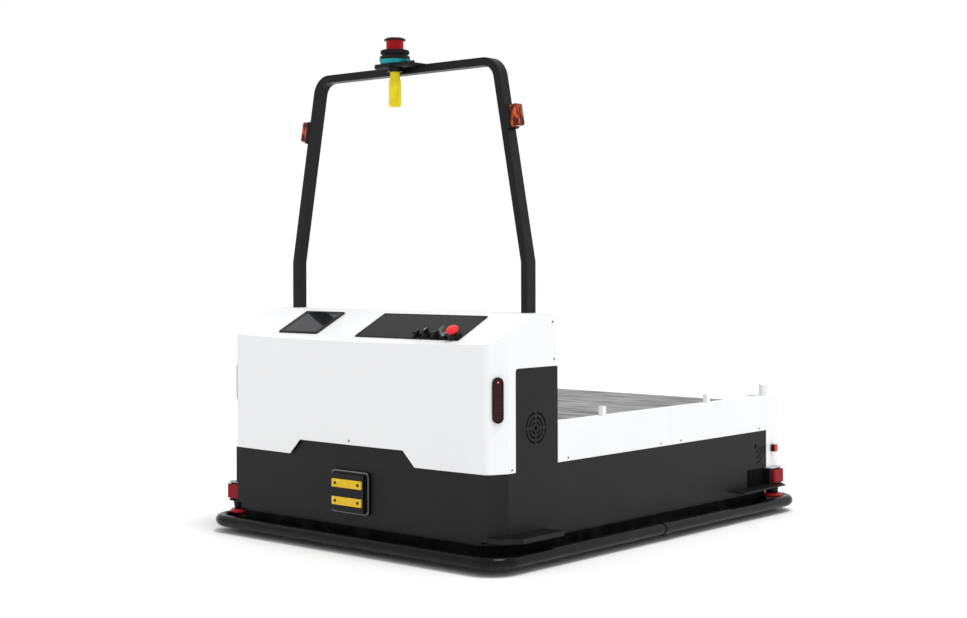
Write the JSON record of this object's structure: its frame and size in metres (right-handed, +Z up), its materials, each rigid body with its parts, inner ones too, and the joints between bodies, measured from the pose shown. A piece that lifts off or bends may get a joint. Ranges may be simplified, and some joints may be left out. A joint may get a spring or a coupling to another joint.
{
  "type": "mobile transport robot",
  "caption": "Low driven transport robot with a roller deck, a control tower, a mast hoop with a lidar head and a bumper all round.",
  "frame": {"origin": "floor point below the middle of the bumper's outline", "axes": "+X to the robot's right seen from its front face, +Y from the front face to the rear, +Z up"},
  "size_m": [1.4458, 1.874, 1.792],
  "materials": {
    "black_steel": "satin powder coat",
    "white_cover": "satin paint",
    "dark_cover": "matte fine-textured paint",
    "black_rubber": "smooth",
    "wheel_rubber": "matte",
    "grey_plastic": "matte",
    "black_plastic": "matte",
    "teal_plastic": "satin",
    "red_window": "translucent gloss",
    "red_plastic": "gloss",
    "yellow_grip": "satin",
    "amber_lens": "translucent gloss",
    "brass_contact": "satin",
    "bare_steel": "satin",
    "zinc_steel": "zinc plated"
  },
  "bodies": {
    "chassis": {"base_frame": "black_steel", "plinth_ring": "black_steel", "deck_frame": "black_steel", "upper_cover": "white_cover", "lower_cover": "dark_cover", "side_panel_left": "dark_cover", "side_panel_right": "dark_cover", "tower_rear_panel": "white_cover", "rear_panel": "dark_cover", "corner_posts": "white_cover", "side_rails": "white_cover", "bumper_front": "black_rubber", "bumper_rear": "black_rubber", "battery_pack": "grey_plastic", "drive_units": "black_steel", "mast_hoop": "black_steel", "lidar_bracket": "black_steel", "lidar_collar": "teal_plastic", "lidar_body": "black_plastic", "lidar_window": "red_window", "mast_grip": "yellow_grip", "beacon_bases": "black_plastic", "beacon_lenses": "amber_lens", "touchscreen": "black_plastic", "control_plate": "black_plastic", "charge_housing": "black_plastic", "charge_contacts": "brass_contact", "lamp_bezels": "black_plastic", "lamp_lenses": "red_window", "scanner_bodies": "grey_plastic", "scanner_covers": "red_plastic"},
    "wheel_left": {"drive_wheel_left": "black_rubber"},
    "wheel_right": {"drive_wheel_right": "black_rubber"},
    "rotor": {"lidar_rotor": "black_plastic"},
    "start": {"start_button": "black_plastic"},
    "mode": {"mode_selector": "black_plastic"},
    "reset": {"reset_button": "black_plastic"},
    "key": {"key_switch": "bare_steel"},
    "estop": {"estop_button": "red_plastic"},
    "fork_1": {"caster_fork_1": "zinc_steel"},
    "castor_1": {"caster_wheel_1": "wheel_rubber"},
    "fork_2": {"caster_fork_2": "zinc_steel"},
    "castor_2": {"caster_wheel_2": "wheel_rubber"},
    "fork_3": {"caster_fork_3": "zinc_steel"},
    "castor_3": {"caster_wheel_3": "wheel_rubber"},
    "fork_4": {"caster_fork_4": "zinc_steel"},
    "castor_4": {"caster_wheel_4": "wheel_rubber"},
    "roller_01": {"roller_01": "bare_steel"},
    "roller_02": {"roller_02": "bare_steel"},
    "roller_03": {"roller_03": "bare_steel"},
    "roller_04": {"roller_04": "bare_steel"},
    "roller_05": {"roller_05": "bare_steel"},
    "roller_06": {"roller_06": "bare_steel"},
    "roller_07": {"roller_07": "bare_steel"},
    "roller_08": {"roller_08": "bare_steel"},
    "roller_09": {"roller_09": "bare_steel"},
    "roller_10": {"roller_10": "bare_steel"},
    "roller_11": {"roller_11": "bare_steel"},
    "roller_12": {"roller_12": "bare_steel"},
    "roller_13": {"roller_13": "bare_steel"}
  },
  "joints": [
    {"name": "drive_left", "type": "hinge", "parent": "chassis", "child": "wheel_left", "pos_m": [-0.515, 0, 0.1], "axis": [1, 0, 0], "continuous": true},
    {"name": "drive_right", "type": "hinge", "parent": "chassis", "child": "wheel_right", "pos_m": [0.515, 0, 0.1], "axis": [1, 0, 0], "continuous": true},
    {"name": "swivel_1", "type": "hinge", "parent": "chassis", "child": "fork_1", "pos_m": [-0.5, -0.652, 0.118], "axis": [0, 0, 1], "continuous": true},
    {"name": "caster_1", "type": "hinge", "parent": "fork_1", "child": "castor_1", "pos_m": [-0.5, -0.618, 0.05], "axis": [1, 0, 0], "continuous": true},
    {"name": "swivel_2", "type": "hinge", "parent": "chassis", "child": "fork_2", "pos_m": [0.5, -0.652, 0.118], "axis": [0, 0, 1], "continuous": true},
    {"name": "caster_2", "type": "hinge", "parent": "fork_2", "child": "castor_2", "pos_m": [0.5, -0.618, 0.05], "axis": [1, 0, 0], "continuous": true},
    {"name": "swivel_3", "type": "hinge", "parent": "chassis", "child": "fork_3", "pos_m": [-0.5, 0.652, 0.118], "axis": [0, 0, 1], "continuous": true},
    {"name": "caster_3", "type": "hinge", "parent": "fork_3", "child": "castor_3", "pos_m": [-0.5, 0.686, 0.05], "axis": [1, 0, 0], "continuous": true},
    {"name": "swivel_4", "type": "hinge", "parent": "chassis", "child": "fork_4", "pos_m": [0.5, 0.652, 0.118], "axis": [0, 0, 1], "continuous": true},
    {"name": "caster_4", "type": "hinge", "parent": "fork_4", "child": "castor_4", "pos_m": [0.5, 0.686, 0.05], "axis": [1, 0, 0], "continuous": true},
    {"name": "turn_01", "type": "hinge", "parent": "chassis", "child": "roller_01", "pos_m": [0, -0.493, 0.4], "axis": [1, 0, 0], "continuous": true},
    {"name": "turn_02", "type": "hinge", "parent": "chassis", "child": "roller_02", "pos_m": [0, -0.389, 0.4], "axis": [1, 0, 0], "continuous": true},
    {"name": "turn_03", "type": "hinge", "parent": "chassis", "child": "roller_03", "pos_m": [0, -0.285, 0.4], "axis": [1, 0, 0], "continuous": true},
    {"name": "turn_04", "type": "hinge", "parent": "chassis", "child": "roller_04", "pos_m": [0, -0.181, 0.4], "axis": [1, 0, 0], "continuous": true},
    {"name": "turn_05", "type": "hinge", "parent": "chassis", "child": "roller_05", "pos_m": [0, -0.077, 0.4], "axis": [1, 0, 0], "continuous": true},
    {"name": "turn_06", "type": "hinge", "parent": "chassis", "child": "roller_06", "pos_m": [0, 0.027, 0.4], "axis": [1, 0, 0], "continuous": true},
    {"name": "turn_07", "type": "hinge", "parent": "chassis", "child": "roller_07", "pos_m": [0, 0.131, 0.4], "axis": [1, 0, 0], "continuous": true},
    {"name": "turn_08", "type": "hinge", "parent": "chassis", "child": "roller_08", "pos_m": [0, 0.235, 0.4], "axis": [1, 0, 0], "continuous": true},
    {"name": "turn_09", "type": "hinge", "parent": "chassis", "child": "roller_09", "pos_m": [0, 0.339, 0.4], "axis": [1, 0, 0], "continuous": true},
    {"name": "turn_10", "type": "hinge", "parent": "chassis", "child": "roller_10", "pos_m": [0, 0.443, 0.4], "axis": [1, 0, 0], "continuous": true},
    {"name": "turn_11", "type": "hinge", "parent": "chassis", "child": "roller_11", "pos_m": [0, 0.547, 0.4], "axis": [1, 0, 0], "continuous": true},
    {"name": "turn_12", "type": "hinge", "parent": "chassis", "child": "roller_12", "pos_m": [0, 0.651, 0.4], "axis": [1, 0, 0], "continuous": true},
    {"name": "turn_13", "type": "hinge", "parent": "chassis", "child": "roller_13", "pos_m": [0, 0.755, 0.4], "axis": [1, 0, 0], "continuous": true},
    {"name": "lidar_spin", "type": "hinge", "parent": "chassis", "child": "rotor", "pos_m": [0, -0.652, 1.765], "axis": [0, 0, 1], "continuous": true},
    {"name": "press_start", "type": "slide", "parent": "chassis", "child": "start", "axis": [0, 0.4472, -0.8944], "range_m": [0, 0.0038], "stiffness_N_per_m": 900},
    {"name": "press_reset", "type": "slide", "parent": "chassis", "child": "reset", "axis": [0, 0.4472, -0.8944], "range_m": [0, 0.0038], "stiffness_N_per_m": 900},
    {"name": "select_mode", "type": "hinge", "parent": "chassis", "child": "mode", "pos_m": [0.324, -0.83838, 0.75996], "axis": [0, -0.4472, 0.8944], "range_deg": [-45, 45]},
    {"name": "turn_key", "type": "hinge", "parent": "chassis", "child": "key", "pos_m": [0.406, -0.83838, 0.75996], "axis": [0, -0.4472, 0.8944], "range_deg": [0, 90]},
    {"name": "press_estop", "type": "slide", "parent": "chassis", "child": "estop", "axis": [0, 0.4472, -0.8944], "range_m": [0, 0.005]}
  ],
  "couplings": [
    {"joint": "turn_02", "follows": "turn_01", "ratio": 1},
    {"joint": "turn_03", "follows": "turn_01", "ratio": 1},
    {"joint": "turn_04", "follows": "turn_01", "ratio": 1},
    {"joint": "turn_05", "follows": "turn_01", "ratio": 1},
    {"joint": "turn_06", "follows": "turn_01", "ratio": 1},
    {"joint": "turn_07", "follows": "turn_01", "ratio": 1},
    {"joint": "turn_08", "follows": "turn_01", "ratio": 1},
    {"joint": "turn_09", "follows": "turn_01", "ratio": 1},
    {"joint": "turn_10", "follows": "turn_01", "ratio": 1},
    {"joint": "turn_11", "follows": "turn_01", "ratio": 1},
    {"joint": "turn_12", "follows": "turn_01", "ratio": 1},
    {"joint": "turn_13", "follows": "turn_01", "ratio": 1}
  ]
}
